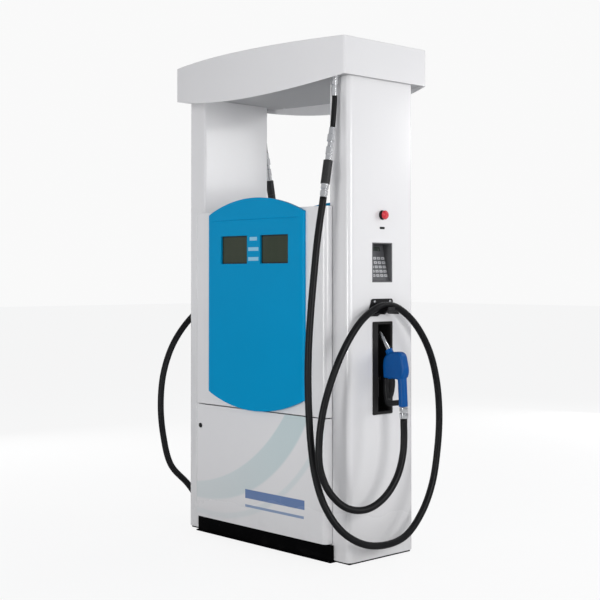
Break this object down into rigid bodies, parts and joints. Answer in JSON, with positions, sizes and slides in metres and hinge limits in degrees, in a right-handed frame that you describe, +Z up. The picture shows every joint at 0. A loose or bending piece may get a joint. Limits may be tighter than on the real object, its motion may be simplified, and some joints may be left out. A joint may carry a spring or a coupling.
{
  "type": "fuel dispenser",
  "caption": "Free-standing double-sided fuel dispenser: two pillars carry a bowed header over a panelled pump cabinet, with a keypad, hose hanger, boot and trigger nozzle on each end face.",
  "frame": {"origin": "on the floor under the middle of the machine", "axes": "+Z up; -Y looks out of the front face, whose door lock is on the left; +X is the right-hand nozzle station, where the hose of the front face hangs"},
  "size_m": [1.425, 0.8137, 2.3],
  "materials": {
    "white_paint": "gloss enamel",
    "soffit_grey": "satin enamel",
    "black_steel": "satin powder coat",
    "black_plastic": "moulded, fine grain",
    "dial_blue": "moulded cover, satin gloss",
    "display_window": "clear cover over a grey-green crystal display",
    "stop_red": "moulded",
    "key_grey": "moulded keys",
    "pad_grey": "moulded tray",
    "nozzle_blue": "vinyl dipped cover",
    "bright_chrome": "polished",
    "hose_rubber": "smooth extruded",
    "cast_casing": "grey enamel on a casting",
    "pulley_iron": "machined",
    "motor_paint": "enamel"
  },
  "bodies": {
    "frame": {"header_shell": "white_paint", "cabinet_top": "white_paint", "right_pillar": "white_paint", "left_pillar": "white_paint", "front_upper_panel": "white_paint", "rear_upper_panel": "white_paint", "header_soffit": "soffit_grey", "vapour_shelf": "soffit_grey", "base_frame": "black_steel", "right_stop_collar": "black_plastic", "right_hose_hanger": "black_plastic", "right_nozzle_boot": "black_plastic", "left_stop_collar": "black_plastic", "left_hose_hanger": "black_plastic", "left_nozzle_boot": "black_plastic", "front_dial_panel": "dial_blue", "rear_dial_panel": "dial_blue", "front_left_display": "display_window", "front_right_display": "display_window", "rear_left_display": "display_window", "rear_right_display": "display_window", "right_keypad_mat": "key_grey", "left_keypad_mat": "key_grey", "right_keypad_housing": "pad_grey", "left_keypad_housing": "pad_grey", "right_hose_outlet": "bright_chrome", "right_breakaway_coupling": "bright_chrome", "right_hose_connector": "bright_chrome", "left_hose_outlet": "bright_chrome", "left_breakaway_coupling": "bright_chrome", "left_hose_connector": "bright_chrome", "right_hose": "hose_rubber", "right_whip_hose": "hose_rubber", "left_hose": "hose_rubber", "left_whip_hose": "hose_rubber", "drive_belt": "hose_rubber", "pump_unit": "cast_casing", "right_flow_meter": "cast_casing", "left_flow_meter": "cast_casing", "electric_motor": "motor_paint"},
    "front_door": {"front_lower_door": "white_paint"},
    "front_lock": {"front_door_lock": "black_plastic"},
    "rear_door": {"rear_lower_door": "white_paint"},
    "rear_lock": {"rear_door_lock": "black_plastic"},
    "right_stop": {"right_stop_button": "stop_red"},
    "right_flap": {"right_boot_flap": "soffit_grey"},
    "right_nozzle": {"right_nozzle_body": "nozzle_blue", "right_nozzle_spout": "bright_chrome", "right_nozzle_guard": "black_plastic"},
    "right_lever": {"right_nozzle_lever": "black_plastic"},
    "right_swivel": {"right_nozzle_swivel": "bright_chrome"},
    "left_stop": {"left_stop_button": "stop_red"},
    "left_flap": {"left_boot_flap": "soffit_grey"},
    "left_nozzle": {"left_nozzle_body": "nozzle_blue", "left_nozzle_spout": "bright_chrome", "left_nozzle_guard": "black_plastic"},
    "left_lever": {"left_nozzle_lever": "black_plastic"},
    "left_swivel": {"left_nozzle_swivel": "bright_chrome"},
    "pump_wheel": {"pump_pulley": "pulley_iron"},
    "motor_wheel": {"motor_pulley": "pulley_iron"}
  },
  "joints": [
    {"name": "front_door_hinge", "type": "hinge", "parent": "frame", "child": "front_door", "pos_m": [0.457, -0.222, 0.3525], "axis": [0, 0, 1], "range_deg": [0, 85]},
    {"name": "front_lock_turn", "type": "hinge", "parent": "front_door", "child": "front_lock", "pos_m": [-0.414, -0.254, 0.526], "axis": [0, 1, 0], "range_deg": [0, 90]},
    {"name": "rear_door_hinge", "type": "hinge", "parent": "frame", "child": "rear_door", "pos_m": [-0.457, 0.222, 0.3525], "axis": [0, 0, 1], "range_deg": [0, 85]},
    {"name": "rear_lock_turn", "type": "hinge", "parent": "rear_door", "child": "rear_lock", "pos_m": [0.414, 0.254, 0.526], "axis": [0, -1, 0], "range_deg": [0, 90]},
    {"name": "right_stop_press", "type": "slide", "parent": "frame", "child": "right_stop", "axis": [-1, 0, 0], "range_m": [0, 0.005], "stiffness_N_per_m": 600},
    {"name": "right_boot_flap_hinge", "type": "hinge", "parent": "frame", "child": "right_flap", "pos_m": [0.529, 0, 0.8], "axis": [0, 1, 0], "range_deg": [0, 22]},
    {"name": "right_nozzle_lift", "type": "slide", "parent": "frame", "child": "right_nozzle", "axis": [0.9397, 0, 0.342], "range_m": [0, 0.16]},
    {"name": "right_lever_squeeze", "type": "hinge", "parent": "right_nozzle", "child": "right_lever", "pos_m": [0.622, 0, 0.812], "axis": [0, -1, 0], "range_deg": [0, 24], "stiffness_Nm_per_rad": 2},
    {"name": "right_swivel_turn", "type": "hinge", "parent": "right_nozzle", "child": "right_swivel", "pos_m": [0.693, 0, 0.658], "axis": [0, 0, 1], "continuous": true},
    {"name": "left_stop_press", "type": "slide", "parent": "frame", "child": "left_stop", "axis": [1, 0, 0], "range_m": [0, 0.005], "stiffness_N_per_m": 600},
    {"name": "left_boot_flap_hinge", "type": "hinge", "parent": "frame", "child": "left_flap", "pos_m": [-0.529, 0, 0.8], "axis": [0, -1, 0], "range_deg": [0, 22]},
    {"name": "left_nozzle_lift", "type": "slide", "parent": "frame", "child": "left_nozzle", "axis": [-0.9397, 0, 0.342], "range_m": [0, 0.16]},
    {"name": "left_lever_squeeze", "type": "hinge", "parent": "left_nozzle", "child": "left_lever", "pos_m": [-0.622, 0, 0.812], "axis": [0, 1, 0], "range_deg": [0, 24], "stiffness_Nm_per_rad": 2},
    {"name": "left_swivel_turn", "type": "hinge", "parent": "left_nozzle", "child": "left_swivel", "pos_m": [-0.693, 0, 0.658], "axis": [0, 0, 1], "continuous": true},
    {"name": "pump_pulley_spin", "type": "hinge", "parent": "frame", "child": "pump_wheel", "pos_m": [-0.11, 0.15, 0.33], "axis": [0, 1, 0], "continuous": true},
    {"name": "motor_pulley_spin", "type": "hinge", "parent": "frame", "child": "motor_wheel", "pos_m": [0.21, 0.15, 0.25], "axis": [0, 1, 0], "continuous": true}
  ],
  "couplings": [
    {"joint": "motor_pulley_spin", "follows": "pump_pulley_spin", "ratio": 2.3187}
  ]
}
